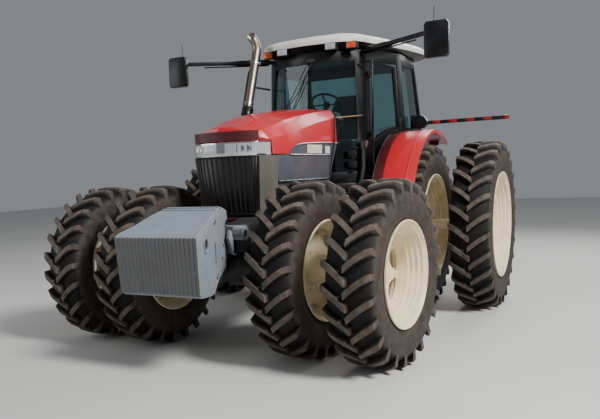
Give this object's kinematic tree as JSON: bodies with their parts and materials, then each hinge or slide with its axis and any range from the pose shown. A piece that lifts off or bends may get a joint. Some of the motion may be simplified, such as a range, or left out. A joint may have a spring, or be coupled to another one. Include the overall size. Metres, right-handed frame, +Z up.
{
  "type": "farm tractor with dual wheels",
  "caption": "Row-crop farm tractor with dual wheels front and rear, glazed cab, front weights, lifting hood, steering front axle and a rear three-point hitch.",
  "frame": {"origin": "on the ground, below the middle of the tractor's bounding box", "axes": "+X to the tractor's left side, +Y to its rear, +Z up; it faces -Y"},
  "size_m": [3.981, 5.5, 3.3847],
  "materials": {
    "red_paint": "gloss",
    "cream_paint": "satin",
    "grey_paint": "satin",
    "weight_paint": "satin, dusty",
    "black_paint": "satin",
    "engine_paint": "satin, dusty",
    "casting": "painted, rough",
    "bright_steel": "ground",
    "exhaust_steel": "heat-stained",
    "white_plastic": "satin",
    "black_plastic": "matte",
    "lens": "clear",
    "tinted_glass": "tinted",
    "seat_cloth": "woven",
    "tyre": "dusty"
  },
  "bodies": {
    "root": {"engine_block": "engine_paint", "front_frame": "casting", "transmission_housing": "casting", "front_axle_beam": "casting", "front_weights": "weight_paint", "side_panel_left": "grey_paint", "side_panel_right": "grey_paint", "cab_base": "black_paint", "cab_frame": "black_paint", "windshield": "tinted_glass", "rear_window": "tinted_glass", "window_right": "tinted_glass", "quarter_window_left": "tinted_glass", "quarter_window_right": "tinted_glass", "roof": "white_plastic", "seat_pedestal": "black_plastic", "seat_cushion": "seat_cloth", "seat_back": "seat_cloth", "side_console": "black_plastic", "dash_cowl": "black_plastic", "steering_wheel": "black_plastic", "fender_left": "red_paint", "fender_right": "red_paint", "exhaust_stack": "exhaust_steel", "mirror_left": "black_plastic", "mirror_right": "black_plastic", "light_arm_left": "black_paint", "light_arm_right": "black_paint", "cab_steps_left": "black_paint", "fuel_tank": "black_plastic"},
    "knuckle_left": {"knuckle_left": "casting"},
    "knuckle_right": {"knuckle_right": "casting"},
    "front_wheels_left": {"front_rims_left": "cream_paint", "front_tyre_left_inner": "tyre", "front_tyre_left_outer": "tyre"},
    "front_wheels_right": {"front_rims_right": "cream_paint", "front_tyre_right_inner": "tyre", "front_tyre_right_outer": "tyre"},
    "rear_wheels_left": {"rear_rims_left": "cream_paint", "rear_tyre_left_inner": "tyre", "rear_tyre_left_outer": "tyre"},
    "rear_wheels_right": {"rear_rims_right": "cream_paint", "rear_tyre_right_inner": "tyre", "rear_tyre_right_outer": "tyre"},
    "steering_rod": {"steering_rod": "bright_steel"},
    "hood": {"hood": "red_paint", "headlight_band": "lens", "grille": "black_plastic", "hood_side_left": "grey_paint", "hood_side_right": "grey_paint"},
    "door_left": {"door_left_frame": "black_paint", "door_left_glass": "tinted_glass"},
    "rockshaft": {"rockshaft_arms": "black_paint"},
    "lift_rod_left": {"lift_rod_left": "black_paint"},
    "lift_rod_right": {"lift_rod_right": "black_paint"},
    "lower_link_left": {"lower_link_left": "black_paint"},
    "lower_link_right": {"lower_link_right": "black_paint"},
    "top_link": {"top_link": "black_paint"}
  },
  "joints": [
    {"name": "steer_left", "type": "hinge", "parent": "root", "child": "knuckle_left", "pos_m": [0.6, -1.48, 0.8], "axis": [0, 0, 1], "range_deg": [-15.9, 28.1]},
    {"name": "steer_right", "type": "hinge", "parent": "root", "child": "knuckle_right", "pos_m": [-0.6, -1.48, 0.8], "axis": [0, 0, 1], "range_deg": [-15.9, 28.1]},
    {"name": "steering_rod_slide", "type": "slide", "parent": "root", "child": "steering_rod", "axis": [1, 0, 0], "range_m": [-0.098, 0.056]},
    {"name": "front_wheels_left_spin", "type": "hinge", "parent": "knuckle_left", "child": "front_wheels_left", "pos_m": [0.6, -1.48, 0.8], "axis": [0.9943, -0.1063, 0], "continuous": true},
    {"name": "front_wheels_right_spin", "type": "hinge", "parent": "knuckle_right", "child": "front_wheels_right", "pos_m": [-0.6, -1.48, 0.8], "axis": [0.9943, -0.1063, 0], "continuous": true},
    {"name": "rear_wheels_left_spin", "type": "hinge", "parent": "root", "child": "rear_wheels_left", "pos_m": [1.01, 1.56, 0.975], "axis": [1, 0, 0], "continuous": true},
    {"name": "rear_wheels_right_spin", "type": "hinge", "parent": "root", "child": "rear_wheels_right", "pos_m": [-1.01, 1.56, 0.975], "axis": [1, 0, 0], "continuous": true},
    {"name": "hood_lift", "type": "hinge", "parent": "root", "child": "hood", "pos_m": [0, 0.12, 2.22], "axis": [-1, 0, 0], "range_deg": [0, 55]},
    {"name": "door_left_swing", "type": "hinge", "parent": "root", "child": "door_left", "pos_m": [0.655, 0.8, 2.4], "axis": [0, 0, -1], "range_deg": [0, 75]},
    {"name": "hitch_lift", "type": "hinge", "parent": "root", "child": "rockshaft", "pos_m": [0, 1.98, 1.25], "axis": [1, 0, 0], "range_deg": [-10, 35]},
    {"name": "lower_link_left_lift", "type": "hinge", "parent": "root", "child": "lower_link_left", "pos_m": [0.3205, 1.8, 0.76], "axis": [1, 0, 0], "range_deg": [-10, 35]},
    {"name": "lower_link_right_lift", "type": "hinge", "parent": "root", "child": "lower_link_right", "pos_m": [-0.3205, 1.8, 0.76], "axis": [1, 0, 0], "range_deg": [-10, 35]},
    {"name": "lift_rod_left_pin", "type": "hinge", "parent": "rockshaft", "child": "lift_rod_left", "pos_m": [0.4195, 2.48954, 1.15942], "axis": [1, 0, 0], "range_deg": [-35, 10]},
    {"name": "lift_rod_right_pin", "type": "hinge", "parent": "rockshaft", "child": "lift_rod_right", "pos_m": [-0.4195, 2.48954, 1.15942], "axis": [1, 0, 0], "range_deg": [-35, 10]},
    {"name": "top_link_swing", "type": "hinge", "parent": "root", "child": "top_link", "pos_m": [0, 2.06, 1], "axis": [1, 0, 0], "range_deg": [0, 85]}
  ],
  "couplings": [
    {"joint": "steer_right", "follows": "steer_left", "ratio": 1},
    {"joint": "steering_rod_slide", "follows": "steer_left", "m_per_rad": -0.196},
    {"joint": "lower_link_left_lift", "follows": "hitch_lift", "ratio": 1},
    {"joint": "lower_link_right_lift", "follows": "hitch_lift", "ratio": 1},
    {"joint": "lift_rod_left_pin", "follows": "hitch_lift", "ratio": -1},
    {"joint": "lift_rod_right_pin", "follows": "hitch_lift", "ratio": -1}
  ]
}
